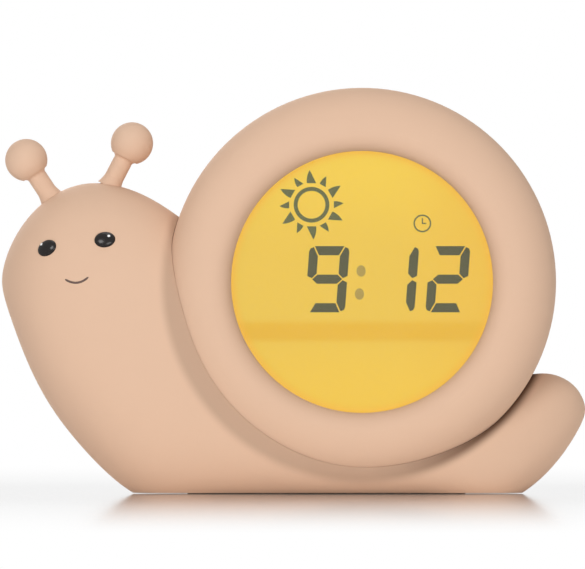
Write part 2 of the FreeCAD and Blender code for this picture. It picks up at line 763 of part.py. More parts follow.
def make_rear(parts, outer_drum):
    """Rear shell of the drum, with its bay, posts, columns and openings."""
    inner_side = drum_radius - drum_wall
    groove = inner_side + tongue_thickness + tongue_gap
    groove_end = tongue_length + seat_gap
    roll_centre = (drum_radius - rear_roll, rear_y - rear_roll)
    outer_arc = arc_middle(*roll_centre, rear_roll, (1, 1))
    inner_arc = arc_middle(*roll_centre, rear_roll - drum_wall, (1, 1))
    shell = turned((drum_radius, 0),
                   (drum_radius, roll_centre[1]),
                   outer_arc + (roll_centre[0], rear_y),
                   (0, rear_y), (0, inner_rear_y), (roll_centre[0], inner_rear_y),
                   inner_arc + (inner_side, roll_centre[1]),
                   (inner_side, groove_end), (groove, groove_end), (groove, 0))

    for angle in drum_column_angles:
        across, up = polar(drum_column_ring, angle)
        shell = shell.fuse(rod(across, up, 0, rear_y, column_radius + 0.6).common(outer_drum))
        shell = shell.cut(rod(across, up, -1, drum_seat_y + 1, screw_radius + screw_clearance))
        shell = shell.cut(rod(across, up, drum_seat_y, rear_y + 1, screw_head_radius + screw_clearance))

    shell = shell.fuse(tube(0, speaker_rise, inner_rear_y - 3, inner_rear_y + 0.5,
                            speaker_radius + seat_gap, speaker_radius + seat_gap + bay_wall))
    for index in range(-slot_pairs, slot_pairs + 1):
        offset = slot_pitch * index
        length = 2 * math.sqrt((speaker_radius - speaker_rim) ** 2 - offset ** 2)
        shell = shell.cut(upright_slot(offset, speaker_rise, inner_rear_y - 1, rear_y + 1,
                                       slot_width, length))

    wide, high = 2 * bay_half_length, 2 * bay_half_height
    shell = shell.fuse(block(0, bay_middle, bay_floor_y - bay_wall, inner_rear_y + 0.5,
                             wide + 2 * bay_wall, high + 2 * bay_wall))
    opening_wide, opening_high = wide + 2 * door_ledge, high + 2 * door_ledge
    shell = shell.cut(block(0, bay_middle, inner_rear_y, rear_y + 1, opening_wide, opening_high))
    shell = shell.cut(block(0, bay_middle, bay_floor_y, rear_y, wide, high))
    boss = rod(0, door_screw_w, inner_rear_y - 8, inner_rear_y, door_boss_radius)
    shell = shell.fuse(boss.cut(block(0, bay_middle, bay_floor_y, rear_y, wide, high)))
    shell = shell.cut(block(0, tab_w, inner_rear_y, rear_y + 1, tab_width + 2 * door_gap,
                            tab_height + 2 * door_gap))
    shell = shell.cut(rod(0, door_screw_w, inner_rear_y - 4.6, inner_rear_y + 1,
                          door_screw_radius + 0.3))
    reach = door_half_width + hinge_reach + door_gap
    shell = shell.cut(Part.makeCylinder(hinge_radius + hinge_fit, 2 * reach,
                                        on_drum(-reach, hinge_w, hinge_y), Vector(1, 0, 0)))
    for side in (-1, 1):
        for row in (-1, 0, 1):
            across = side * (bay_half_length - contact_thickness / 2)
            shell = shell.cut(block(across, bay_middle + row * cell_pitch, bay_floor_y - 2, bay_floor_y + 1,
                                    contact_thickness + 0.4, 3.4))

    for angle in key_angles:
        across, up = polar(key_ring, angle)
        shell = shell.cut(rod(across, up, inner_rear_y - 1, rear_y + 1, key_radius + key_clearance))
    key_back = key_board_y + board_thickness
    for across, up in key_posts():
        shell = shell.fuse(rod(across, up, key_back, inner_rear_y + 0.5, key_post_radius))
        shell = shell.cut(rod(across, up, key_back - 1, key_back + 3.2, small_screw_radius))
    main_back = main_board_y + board_thickness
    for across, up, end_y in main_posts():
        shell = shell.fuse(rod(across, up, main_back, end_y, post_radius))
        shell = shell.cut(rod(across, up, main_back - 1, main_back + 2.6, small_screw_radius))
    across, up = polar(usb_ring, usb_angle)
    usb_opening = [size + 2 * seat_gap for size in usb_size]
    shell = shell.cut(upright_slot(across, up, inner_rear_y - 1, rear_y + 1, *usb_opening))
    parts["drum_rear_shell"] = largest(shell.removeSplitter())


def key_posts():
    """Places of the posts that hold the two key boards."""
    return [polar(key_post_ring, angle) for angle in key_post_angles]


def main_posts():
    """Places and rear ends of the posts that hold the main board."""
    lower = [(across, up, bay_floor_y - 1) for across, up in main_post_places]
    return lower + [(0.0, upper_post_up, inner_rear_y + 0.5)]


def make_boards(parts, board_screws):
    """Main board with its components, and the two key boards with their switches."""
    main_back = main_board_y + board_thickness
    hole_radius = small_screw_radius + small_screw_clearance
    main_board = rod(0, 0, main_board_y, main_back, main_board_radius)
    for across, up, end_y in main_posts():
        main_board = main_board.cut(rod(across, up, main_board_y - 1, main_back + 1, hole_radius))
        board_screws.append(small_screw(across, up, main_board_y, 4.0, -1))
    parts["main_board"] = main_board
    parts["control_chip"] = block(*chip_place, main_board_y - chip_height, main_board_y,
                                  chip_side, chip_side)
    parts["quartz_crystal"] = upright_slot(*crystal_place, main_board_y - crystal_height, main_board_y,
                                           *crystal_size)
    across, up = capacitor_place
    parts["capacitors"] = Part.makeCompound([
        rod(side * across, up, main_back, main_back + capacitor_height, capacitor_radius)
        for side in (-1, 1)])
    connector_y = main_board_y - connector_depth
    parts["ribbon_connector"] = block(0, connector_up, connector_y, main_board_y,
                                      ribbon_width + 2, connector_height)
    ribbon_up = pocket_radius + 3.6
    strip = ribbon_thickness
    glass_edge = lcd_radius + 0.05
    front_y = lcd_y + lcd_thickness / 2
    rear_end = connector_y - strip
    ribbon = block(0, (glass_edge + ribbon_up) / 2, front_y, front_y + strip,
                   ribbon_width, ribbon_up - glass_edge)
    ribbon = ribbon.fuse(block(0, ribbon_up - strip / 2, front_y, rear_end + strip, ribbon_width, strip))
    ribbon_foot = connector_up - connector_height / 2
    ribbon = ribbon.fuse(block(0, (ribbon_foot + ribbon_up) / 2, rear_end, rear_end + strip,
                               ribbon_width, ribbon_up - ribbon_foot))
    parts["lcd_ribbon"] = ribbon.removeSplitter()

    key_back = key_board_y + board_thickness
    boards = {}
    for name, span in zip(key_board_names, key_board_angles):
        boards[name] = sector(*key_board_ring, key_board_y, key_back, *span)
    for across, up in key_posts():
        name = key_board_names[0] if across > 0 else key_board_names[1]
        boards[name] = boards[name].cut(rod(across, up, key_board_y - 1, key_back + 1, hole_radius))
        board_screws.append(small_screw(across, up, key_board_y, 4.4, -1))
    parts.update(boards)
    across, middle = key_wire_place
    wires = [rod(side * across, middle + step * key_wire_pitch, main_back, key_board_y, wire_radius)
             for side in (-1, 1) for step in (-1, 0, 1)]
    parts["key_board_wires"] = Part.makeCompound(wires)

    switches = []
    for angle, key_name in zip(key_angles, key_names):
        across, up = polar(key_ring, angle)
        switch = block(across, up, key_back, switch_y, switch_side, switch_side)
        switch = switch.cut(rod(across, up, switch_y - plunger_grip - key_travel - key_spare, switch_y + 1,
                                plunger_radius + plunger_fit))
        switches.append(switch)
        cap = rod(across, up, key_flange_y, key_top_y, key_radius)
        cap = cap.makeFillet(0.5, [edge for edge in cap.Edges if edge.CenterOfMass.y > key_top_y - 0.1
                                   and edge.Length > 2 * key_radius])
        flange = rod(across, up, key_flange_y, key_flange_y + key_flange_thickness, key_flange)
        parts["key_" + key_name] = cap.fuse(flange).removeSplitter()
        parts["plunger_" + key_name] = rod(across, up, switch_y - plunger_grip, key_flange_y, plunger_radius)
    parts["switch_bodies"] = Part.makeCompound(switches)

    across, up = polar(usb_ring, usb_angle)
    shell = upright_slot(across, up, key_back, rear_y - 0.2, *usb_size)
    mouth_size = [size - 2 * usb_wall for size in usb_size]
    mouth = upright_slot(across, up, key_back + 1.2, rear_y, *mouth_size)
    tongue = block(across, up, key_back + 1, rear_y - 1.0, 0.7, 6.7)
    parts["usb_socket"] = shell.cut(mouth).fuse(tongue).removeSplitter()


def make_speaker(parts):
    """Small round speaker behind the slots."""
    face_y = inner_rear_y - gasket_thickness
    back_y = face_y - speaker_depth
    r = speaker_radius
    inner = r - speaker_rim
    neck, cup = speaker_cup

    def on_speaker(shape):
        shape.translate(Vector(0, 0, speaker_rise))
        return shape

    parts["speaker_gasket"] = tube(0, speaker_rise, face_y, inner_rear_y, inner, r)
    parts["speaker_frame"] = on_speaker(turned((inner, face_y), (r, face_y), (r, face_y - speaker_rim),
                                               (cup, back_y), (neck, back_y), (neck, back_y + 0.8),
                                               (cup - 0.6, back_y + 0.8), (inner, face_y - 1.2)))
    edge = inner - 0.3
    parts["speaker_cone"] = on_speaker(turned((0, face_y - 2.6), (4.0, face_y - 3.4), (edge, face_y - 0.6),
                                              (edge, face_y - 1.0), (4.2, face_y - 3.9), (0, face_y - 3.1)))
    parts["speaker_magnet"] = rod(0, speaker_rise, back_y - magnet_height, back_y, magnet_radius)
    start_y = main_board_y + board_thickness
    across, up = speaker_wire_place
    wires = [rod(side * across, speaker_rise + up, start_y, back_y + 0.1, wire_radius)
             for side in (-1, 1)]
    parts["speaker_wires"] = Part.makeCompound([wire.cut(parts["speaker_frame"]).cut(parts["speaker_magnet"])
                                                for wire in wires])


def make_power(parts):
    """Battery cells, their contacts and springs, and the door with its screw."""
    contacts = []
    springs = []
    contact_half = cell_radius - contact_margin
    wide = cell_radius - spring_margin
    for row, name in ((-1, "battery_cell_lower"), (0, "battery_cell_middle"), (1, "battery_cell_upper")):
        up = bay_middle + row * cell_pitch
        way = -1 if row == 0 else 1
        inner_face = bay_half_length - contact_thickness
        start = on_drum(way * (spring_length - inner_face), up, cell_y)
        axis = Vector(way, 0, 0)
        can = Part.makeCylinder(cell_radius, cell_length - cell_tip[1], start, axis)
        can = can.makeFillet(0.4, [edge for edge in can.Edges if edge.Length > 4 * cell_radius and
                                   edge.BoundBox.XLength < 0.01])
        tip = Part.makeCylinder(*cell_tip, start + axis * (cell_length - cell_tip[1]), axis)
        parts[name] = can.fuse(tip).removeSplitter()
        for side in (-1, 1):
            middle = side * (bay_half_length - contact_thickness / 2)
            plate = block(middle, up, bay_floor_y, cell_y + contact_half - 0.1, contact_thickness,
                          2 * contact_half)
            tail = block(middle, up, main_board_y + board_thickness, bay_floor_y, contact_thickness, 3.0)
            contacts.append(plate.fuse(tail).removeSplitter())
        foot = start - axis * spring_length
        springs.append(Part.makeCone(wide, wide - spring_taper, spring_length, foot, axis))
    parts["battery_contacts"] = Part.makeCompound(contacts)
    parts["battery_springs"] = Part.makeCompound(springs)

    outer_y = door_y + door_thickness
    door = block(0, bay_middle + door_thickness / 4, door_y, outer_y, 2 * door_half_width,
                 2 * door_half_height - door_thickness / 2)
    edge = Part.makeCylinder(door_thickness / 2, 2 * door_half_width,
                             on_drum(-door_half_width, hinge_w, hinge_y), Vector(1, 0, 0))
    tab = block(0, tab_w, door_y, outer_y, tab_width, tab_height)
    pin_length = 2 * (door_half_width + hinge_reach)
    pins = Part.makeCylinder(hinge_radius, pin_length, on_drum(-pin_length / 2, hinge_w, hinge_y),
                             Vector(1, 0, 0))
    door = door.fuse([edge, tab, pins]).removeSplitter()
    head_radius, head_depth = door_screw_head
    head_y = outer_y - 0.1 - head_depth
    door = door.cut(rod(0, door_screw_w, door_y - 1, outer_y + 1, door_screw_radius + 0.1))
    door = door.cut(rod(0, door_screw_w, head_y, outer_y + 1, head_radius + screw_clearance))
    parts["battery_door"] = door
    shank = rod(0, door_screw_w, inner_rear_y - 2.8, head_y, door_screw_radius)
    head = rod(0, door_screw_w, head_y, head_y + head_depth, head_radius)
    head = head.cut(block(0, door_screw_w, outer_y - 0.7, outer_y, 3.2, 0.6))
    head = head.cut(block(0, door_screw_w, outer_y - 0.7, outer_y, 0.6, 3.2))
    parts["battery_door_screw"] = shank.fuse(head).removeSplitter()


def main():
    parts = {}
    outer_drum = drum_envelope(0)
    make_body(parts)
    make_ring(parts, outer_drum)
    board_screws = make_display(parts)
    make_symbols(parts)
    make_rear(parts, outer_drum)
    make_boards(parts, board_screws)
    make_speaker(parts)
    make_power(parts)
    parts["board_screws"] = Part.makeCompound(board_screws)
    parts["drum_screws"] = Part.makeCompound(
        [screw(*polar(drum_column_ring, angle), drum_seat_y) for angle in drum_column_angles])
    os.makedirs("parts", exist_ok=True)
    for name, shape in parts.items():
        shape.exportStep("parts/" + name + ".step")
        print(name, len(shape.Solids), shape.isValid(), round(shape.Volume, 1))


main()
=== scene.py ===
import math

import bmesh
import bpy
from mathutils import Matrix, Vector
from mathutils.bvhtree import BVHTree


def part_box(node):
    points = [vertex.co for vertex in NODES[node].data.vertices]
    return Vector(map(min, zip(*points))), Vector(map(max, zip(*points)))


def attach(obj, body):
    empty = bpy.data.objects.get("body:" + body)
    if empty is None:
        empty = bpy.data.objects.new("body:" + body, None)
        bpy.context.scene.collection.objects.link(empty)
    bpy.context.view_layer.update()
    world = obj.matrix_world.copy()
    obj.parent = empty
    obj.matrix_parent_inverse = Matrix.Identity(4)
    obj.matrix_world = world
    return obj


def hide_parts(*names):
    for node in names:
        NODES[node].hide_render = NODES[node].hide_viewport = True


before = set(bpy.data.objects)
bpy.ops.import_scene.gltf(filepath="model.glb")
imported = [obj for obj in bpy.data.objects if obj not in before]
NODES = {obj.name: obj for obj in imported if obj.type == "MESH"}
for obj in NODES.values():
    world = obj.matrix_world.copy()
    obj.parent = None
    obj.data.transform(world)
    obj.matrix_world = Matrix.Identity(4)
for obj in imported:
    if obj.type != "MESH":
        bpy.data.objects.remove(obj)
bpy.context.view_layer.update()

# Snail-shaped alarm clock with a night light. Metres, +Z up, the front faces -Y.

MM = 0.001
HOUSING = "housing"

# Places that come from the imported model
lens_low, lens_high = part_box("display_lens")
LENS_X = (lens_low.x + lens_high.x) / 2
LENS_Z = (lens_low.z + lens_high.z) / 2
GLASS_EDGE_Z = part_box("lcd_panel")[0].z
drum_low, drum_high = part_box("ring_front")
DRUM_X = (drum_low.x + drum_high.x) / 2
DRUM_Z = (drum_low.z + drum_high.z) / 2
DRUM_RADIUS = (drum_high.x - drum_low.x) / 2

# Camera: the width it takes in at the object, the point it faces, and how far off it stands.
# Past about 7 m, views from other sides stand so far off that they clip the object away.
FRAME_WIDTH = 160.5 * MM
EYE_LEVEL = Vector((-0.3, 0, 57.3)) * MM
CAMERA_DISTANCE = 6.0
SENSOR_WIDTH = 36
CLIP_END = 20

# Studio: a round floor with its fades away from the object, and each lamp's place, size and power
FLOOR_RADIUS = 3.2
FLOOR_WHITENS = (0.07, 0.40)
MIRROR_FADES = (0.0, 1.0)
WORLD_STRENGTH = 0.32
LAMP_TARGET = Vector((0, 0, 0.05))
LAMPS = (
    ("key_lamp", (-0.6, -1.45, 0.75), 0.7, 9.8),
    ("fill_lamp", (0.48, -1.35, 0.05), 0.7, 7.6),
    ("top_lamp", (0.1, 0.15, 1.3), 0.9, 2.8),
    ("rear_lamp", (-0.5, 1.3, 0.6), 1.0, 6.0),
)

# The smile printed on the head, and a painted highlight dot on each eye at its place, with its radius
SMILE_CENTRE = (-59.2 * MM, 58.35 * MM)
SMILE_SPREAD = 3.2 * MM
SMILE_DROP = 1.24 * MM
SMILE_TILT = 5.6
SMILE_STROKE = 0.30 * MM
SMILE_LIFT = 0.05 * MM
GLINT_LIFT = 0.09 * MM
GLINTS = (
    ("eye_left", -69.0 * MM, 68.3 * MM, 0.42 * MM),
    ("eye_right", -50.5 * MM, 70.6 * MM, 0.40 * MM),
)


def srgb(red, green, blue):
    """Linear colour of a shade given on the usual 0 to 255 scale."""
    linear = []
    for value in (red, green, blue):
        share = value / 255
        linear.append(share / 12.92 if share <= 0.04045 else ((share + 0.055) / 1.055) ** 2.4)
    return (*linear, 1)


# Shader groups that the materials use

def new_group(name, inputs, outputs):
    """Empty shader group with its sockets, and its two ends."""
    tree = bpy.data.node_groups.new(name, "ShaderNodeTree")
    for label, kind, value in inputs:
        socket = tree.interface.new_socket(label, in_out="INPUT", socket_type=kind)
        if value is not None:
            socket.default_value = value
    for label, kind in outputs:
        tree.interface.new_socket(label, in_out="OUTPUT", socket_type=kind)
    return tree, tree.nodes.new("NodeGroupInput"), tree.nodes.new("NodeGroupOutput")


def maths(tree, operation, first, second=None, clamp=False):
    """Math node whose inputs are sockets or plain numbers."""
    node = tree.nodes.new("ShaderNodeMath")
    node.operation = operation
    node.use_clamp = clamp
    for slot, value in zip(node.inputs, (first, second)):
        if isinstance(value, (int, float)):
            slot.default_value = value
        elif value is not None:
            tree.links.new(value, slot)
    return node.outputs[0]


def noise(tree, place, scale, detail=2.0, roughness=0.5):
    """Noise texture at a place; scale is a number or a socket."""
    node = tree.nodes.new("ShaderNodeTexNoise")
    tree.links.new(place, node.inputs["Vector"])
    if isinstance(scale, (int, float)):
        node.inputs["Scale"].default_value = scale
    else:
        tree.links.new(scale, node.inputs["Scale"])
    node.inputs["Detail"].default_value = detail
    node.inputs["Roughness"].default_value = roughness
    return node.outputs["Fac"]


def fade(tree, value, low, high):
    """Smooth 0 to 1 as a value goes from low to high."""
    node = tree.nodes.new("ShaderNodeMapRange")
    node.interpolation_type = "SMOOTHSTEP"
    tree.links.new(value, node.inputs["Value"])
    node.inputs["From Min"].default_value = low
    node.inputs["From Max"].default_value = high
    return node.outputs["Result"]


def distance(tree, across, up):
    """Length of a flat vector of two sockets."""
    squares = maths(tree, "ADD", maths(tree, "POWER", across, 2.0), maths(tree, "POWER", up, 2.0))
    return maths(tree, "SQRT", squares)


def blended(tree, share, first, second, mode="MIX"):
    """Colour mix of two colours or sockets."""
    node = tree.nodes.new("ShaderNodeMix")
    node.data_type = "RGBA"
    node.blend_type = mode
    for slot, value in ((node.inputs[0], share), (node.inputs[6], first), (node.inputs[7], second)):
        if isinstance(value, bpy.types.NodeSocket):
            tree.links.new(value, slot)
        else:
            slot.default_value = value
    return node.outputs[2]


def make_moulded_grain():
    """Fine spark-eroded texture of a moulding: a height, and a slow drift of roughness."""
    tree, ends, out = new_group(
        "moulded_grain",
        [("Place", "NodeSocketVector", None), ("Grain Scale", "NodeSocketFloat", 5200.0),
         ("Base Roughness", "NodeSocketFloat", 0.6), ("Handling", "NodeSocketFloat", 0.05)],
        [("Height", "NodeSocketFloat"), ("Roughness", "NodeSocketFloat")])
    place = ends.outputs["Place"]
    fine = noise(tree, place, ends.outputs["Grain Scale"], 3.0, 0.6)
    broad = noise(tree, place, maths(tree, "MULTIPLY", ends.outputs["Grain Scale"], 0.22), 1.0)
    height = maths(tree, "ADD", fine, maths(tree, "MULTIPLY", broad, 0.5))
    touch = noise(tree, place, 38.0, 4.0, 0.62)
    drift = maths(tree, "MULTIPLY", maths(tree, "SUBTRACT", touch, 0.5), ends.outputs["Handling"])
    tree.links.new(height, out.inputs["Height"])
    tree.links.new(maths(tree, "ADD", ends.outputs["Base Roughness"], drift), out.inputs["Roughness"])
    return tree


def make_tone_drift():
    """Slight, slow change of a colour over a surface."""
    tree, ends, out = new_group(
        "tone_drift",
        [("Place", "NodeSocketVector", None), ("Color", "NodeSocketColor", (1, 1, 1, 1)),
         ("Scale", "NodeSocketFloat", 22.0), ("Amount", "NodeSocketFloat", 0.06)],
        [("Color", "NodeSocketColor")])
    slow = noise(tree, ends.outputs["Place"], ends.outputs["Scale"], 3.0)
    shift = maths(tree, "MULTIPLY", maths(tree, "SUBTRACT", slow, 0.5), ends.outputs["Amount"])
    level = maths(tree, "ADD", shift, 1.0)
    spread = tree.nodes.new("ShaderNodeCombineXYZ")
    for slot in spread.inputs:
        tree.links.new(level, slot)
    tree.links.new(blended(tree, 1.0, ends.outputs["Color"], spread.outputs[0], "MULTIPLY"),
                   out.inputs["Color"])
    return tree


def make_parting_line():
    """Hairline where two mouldings meet, on the plane through y = 0."""
    tree, ends, out = new_group(
        "parting_line",
        [("Place", "NodeSocketVector", None), ("Half Width", "NodeSocketFloat", 0.00014)],
        [("Line", "NodeSocketFloat")])
    parts = tree.nodes.new("ShaderNodeSeparateXYZ")
    tree.links.new(ends.outputs["Place"], parts.inputs[0])
    away = maths(tree, "DIVIDE", maths(tree, "ABSOLUTE", parts.outputs["Y"]), ends.outputs["Half Width"])
    line = maths(tree, "SUBTRACT", 1.0, fade(tree, away, 0.6, 1.3))
    tree.links.new(line, out.inputs["Line"])
    return tree


def make_crease_shade():
    """Painted shade in the crease where the body meets the drum, deepest on the drum's tail side."""
    tail_reach, falloff = 0.8 * DRUM_RADIUS, 1.3
    tree, ends, out = new_group(
        "crease_shade",
        [("Place", "NodeSocketVector", None), ("Reach", "NodeSocketFloat", 0.0034),
         ("Least", "NodeSocketFloat", 0.30)],
        [("Shade", "NodeSocketFloat")])
    parts = tree.nodes.new("ShaderNodeSeparateXYZ")
    tree.links.new(ends.outputs["Place"], parts.inputs[0])
    across = maths(tree, "SUBTRACT", parts.outputs["X"], DRUM_X)
    up = maths(tree, "SUBTRACT", parts.outputs["Z"], DRUM_Z)
    away = maths(tree, "SUBTRACT", distance(tree, across, up), DRUM_RADIUS)
    share = maths(tree, "DIVIDE", away, ends.outputs["Reach"])
    close = maths(tree, "SUBTRACT", 1.0, fade(tree, share, 0.0, 1.0))
    tail_side = fade(tree, across, 0.0, tail_reach)
    rest = maths(tree, "SUBTRACT", 1.0, ends.outputs["Least"])
    weight = maths(tree, "ADD", ends.outputs["Least"], maths(tree, "MULTIPLY", tail_side, rest))
    shade = maths(tree, "MULTIPLY", maths(tree, "POWER", close, falloff), weight)
    tree.links.new(shade, out.inputs["Shade"])
    return tree


GRAIN = make_moulded_grain()
DRIFT = make_tone_drift()
PARTING = make_parting_line()
CREASE = make_crease_shade()


class Finish:
    """A material being made: its tree, its shader and its place on the surface."""

    def __init__(self, name, roughness=0.5, metallic=0.0):
        self.material = bpy.data.materials.new(name)
        self.material.use_nodes = True
        self.tree = self.material.node_tree
        self.shader = self.tree.nodes["Principled BSDF"]
        self.shader.inputs["Roughness"].default_value = roughness
        self.shader.inputs["Metallic"].default_value = metallic
        self.place = self.tree.nodes.new("ShaderNodeTexCoord").outputs["Object"]

    def group(self, tree, **values):
        """Place a shader group; spaces in socket names are written as underscores."""
        node = self.tree.nodes.new("ShaderNodeGroup")
        node.node_tree = tree
        self.tree.links.new(self.place, node.inputs["Place"])
        for name, value in values.items():
            slot = node.inputs[name.replace("_", " ")]
            if isinstance(value, bpy.types.NodeSocket):
                self.tree.links.new(value, slot)
            else:
                slot.default_value = value
        return node

    def link(self, value, name):
        self.tree.links.new(value, self.shader.inputs[name])

    def bump(self, height, distance, strength=1.0):
        """Raise the surface by a height; distance is in metres."""
        node = self.tree.nodes.new("ShaderNodeBump")
        node.inputs["Strength"].default_value = strength
        node.inputs["Distance"].default_value = distance
        self.tree.links.new(height, node.inputs["Height"])
        self.tree.links.new(node.outputs["Normal"], self.shader.inputs["Normal"])

    def set(self, **values):
        for name, value in values.items():
            self.shader.inputs[name.replace("_", " ")].default_value = value


def moulded(name, color, roughness=0.55, grain=5200.0, depth=0.00002, drift=0.05, handling=0.06):
    """Moulded plastic or rubber with its grain."""
    finish = Finish(name, roughness)
    tone = finish.group(DRIFT, Color=color, Amount=drift)
    surface = finish.group(GRAIN, Grain_Scale=grain, Base_Roughness=roughness, Handling=handling)
    finish.link(tone.outputs["Color"], "Base Color")
    finish.link(surface.outputs["Roughness"], "Roughness")
    finish.bump(surface.outputs["Height"], depth, 0.35)
    return finish, tone, surface


def moulding(name, color, *values):
    """Material of a plain moulding."""
    return moulded(name, color, *values)[0].material


def soft_touch(name, color, with_parting_line, with_crease_shade=False):
    """Soft matte skin of the snail and its drum."""
    groove = 6.0
    finish, tone, surface = moulded(name, color, 0.68, 4200.0, 0.00003, 0.035, 0.10)
    finish.set(Specular_IOR_Level=0.16)
    if with_parting_line:
        line = finish.group(PARTING).outputs["Line"]
        skin = tone.outputs["Color"]
        if with_crease_shade:
            # Painted shade: the skin darkens in the crease by the drum
            skin = blended(finish.tree, finish.group(CREASE).outputs["Shade"], skin, srgb(84, 52, 32))
        dark = blended(finish.tree, line, skin, srgb(158, 124, 100))
        finish.link(dark, "Base Color")
        cut = maths(finish.tree, "MULTIPLY", line, groove)
        finish.bump(maths(finish.tree, "SUBTRACT", surface.outputs["Height"], cut), 0.00003, 0.35)
    return finish.material


def metal(name, color, roughness=0.28, brushed=900.0):
    """Plated metal with fine scratches and dulled patches."""
    finish = Finish(name, roughness, 1.0)
    tone = finish.group(DRIFT, Color=color, Amount=0.16, Scale=300.0)
    surface = finish.group(GRAIN, Grain_Scale=brushed, Base_Roughness=roughness, Handling=0.3)
    finish.link(tone.outputs["Color"], "Base Color")
    finish.link(surface.outputs["Roughness"], "Roughness")
    finish.bump(surface.outputs["Height"], 0.000008, 0.3)
    return finish.material


def circuit_board():
    """Green solder mask with tinned tracks and pads."""
    finish = Finish("solder_mask", 0.32)
    tree = finish.tree
    tracks = tree.nodes.new("ShaderNodeTexWave")
    tracks.wave_type = "BANDS"
    tracks.bands_direction = "DIAGONAL"
    tracks.inputs["Scale"].default_value = 260.0
    tracks.inputs["Distortion"].default_value = 3.5
    tracks.inputs["Detail"].default_value = 0.0
    tree.links.new(finish.place, tracks.inputs["Vector"])
    track = fade(tree, tracks.outputs["Fac"], 0.80, 0.86)
    pads = tree.nodes.new("ShaderNodeTexVoronoi")
    pads.inputs["Scale"].default_value = 330.0
    tree.links.new(finish.place, pads.inputs["Vector"])
    pad = maths(tree, "SUBTRACT", 1.0, fade(tree, pads.outputs["Distance"], 0.16, 0.2))
    mask = blended(tree, track, srgb(18, 84, 48), srgb(34, 122, 66))
    face = blended(tree, pad, mask, srgb(196, 198, 192))
    tone = finish.group(DRIFT, Color=face, Amount=0.2, Scale=60.0)
    finish.link(tone.outputs["Color"], "Base Color")
    finish.link(pad, "Metallic")
    finish.bump(maths(tree, "ADD", track, pad), 0.00003, 0.6)
    return finish.material


def eye_gloss():
    """Polished near-black bead with a thin clear coat."""
    finish = Finish("eye_gloss", 0.2)
    tone = finish.group(DRIFT, Color=srgb(24, 19, 17), Amount=0.5, Scale=260.0)
    surface = finish.group(GRAIN, Grain_Scale=700.0, Base_Roughness=0.20, Handling=0.10)
    finish.link(tone.outputs["Color"], "Base Color")
    finish.link(surface.outputs["Roughness"], "Roughness")
    finish.bump(surface.outputs["Height"], 0.000004, 0.2)
    finish.set(Coat_Weight=0.12, Coat_Roughness=0.12, Specular_IOR_Level=0.22)
    return finish.material


def clear_acrylic():
    """Clear window, with faint wipe marks in its roughness."""
    finish = Finish("clear_acrylic", 0.03)
    finish.set(Base_Color=(1, 1, 1, 1), Transmission_Weight=1.0, IOR=1.45, Specular_IOR_Level=0.06)
    surface = finish.group(GRAIN, Grain_Scale=160.0, Base_Roughness=0.02, Handling=0.03)
    finish.link(surface.outputs["Roughness"], "Roughness")
    return finish.material


def lit_display(name, behind_glass):
    """Amber light of the display. A soft deeper band of painted shade crosses the glass's lower edge."""
    top_glow = (LENS_Z + 6 * MM, LENS_Z + 35 * MM)
    right_glow = (4 * MM, 35 * MM)
    low_glow = (-8 * MM, -34 * MM)
    shade_top = (GLASS_EDGE_Z + 3.6 * MM, GLASS_EDGE_Z + 1.2 * MM)
    shade_foot = (GLASS_EDGE_Z - 3.8 * MM, GLASS_EDGE_Z - 1.6 * MM)
    rim_glow = (33.4 * MM, 35.9 * MM)
    finish = Finish(name, 0.45)
    tree = finish.tree
    parts = tree.nodes.new("ShaderNodeSeparateXYZ")
    tree.links.new(finish.place, parts.inputs[0])
    z = parts.outputs["Z"]
    across = maths(tree, "SUBTRACT", parts.outputs["X"], LENS_X)
    up = maths(tree, "SUBTRACT", z, LENS_Z)
    radius = distance(tree, across, up)
    middle, top = srgb(231, 190, 52), srgb(240, 200, 50)
    height = fade(tree, z, *top_glow)
    glow = blended(tree, height, middle, top)
    right = fade(tree, across, *right_glow)
    glow = blended(tree, maths(tree, "MULTIPLY", right, 0.5), glow, srgb(236, 180, 26))
    low = fade(tree, up, *low_glow)
    glow = blended(tree, maths(tree, "MULTIPLY", low, 0.75), glow, srgb(240, 194, 40))
    # Painted shade: a deeper band across the glass's lower edge, uneven in patches
    into = fade(tree, z, *shade_top)
    out_of = fade(tree, z, *shade_foot)
    band = maths(tree, "MULTIPLY", into, out_of)
    patches = maths(tree, "ADD", 0.72, maths(tree, "MULTIPLY", noise(tree, finish.place, 45.0), 0.4))
    glow = blended(tree, maths(tree, "MULTIPLY", band, patches), glow, srgb(228, 176, 2))
    rim = fade(tree, radius, *rim_glow)
    glow = blended(tree, maths(tree, "MULTIPLY", rim, 0.8), glow, srgb(242, 180, 26))
    tone = finish.group(DRIFT, Color=glow, Amount=0.05, Scale=30.0)
    finish.link(tone.outputs["Color"], "Emission Color")
    finish.set(Emission_Strength=0.93, Specular_IOR_Level=0.1)
    finish.link(blended(tree, 0.9, tone.outputs["Color"], (0.02, 0.014, 0.002, 1)), "Base Color")
    surface = finish.group(GRAIN, Grain_Scale=2400.0 if behind_glass else 1200.0, Base_Roughness=0.45)
    finish.bump(surface.outputs["Height"], 0.00001, 0.2)
    return finish.material


def display_ink():
    """Dark olive of the driven figures; the two colon dots are fainter."""
    upper_figures = (68 * MM, 72 * MM)
    colon_left, colon_right = (16.2 * MM, 16.4 * MM), (20.4 * MM, 20.2 * MM)
    finish = Finish("display_ink", 0.6)
    tree = finish.tree
    parts = tree.nodes.new("ShaderNodeSeparateXYZ")
    tree.links.new(finish.place, parts.inputs[0])
    high = fade(tree, parts.outputs["Z"], *upper_figures)
    ink = blended(tree, high, srgb(76, 74, 34), srgb(94, 97, 48))
    from_left = fade(tree, parts.outputs["X"], *colon_left)
    to_right = fade(tree, parts.outputs["X"], *colon_right)
    ink = blended(tree, maths(tree, "MULTIPLY", from_left, to_right), ink, srgb(178, 150, 62))
    tone = finish.group(DRIFT, Color=ink, Amount=0.10, Scale=90.0)
    finish.link(tone.outputs["Color"], "Emission Color")
    finish.set(Emission_Strength=0.92, Specular_IOR_Level=0.0, Base_Color=(0.01, 0.01, 0.005, 1))
    return finish.material


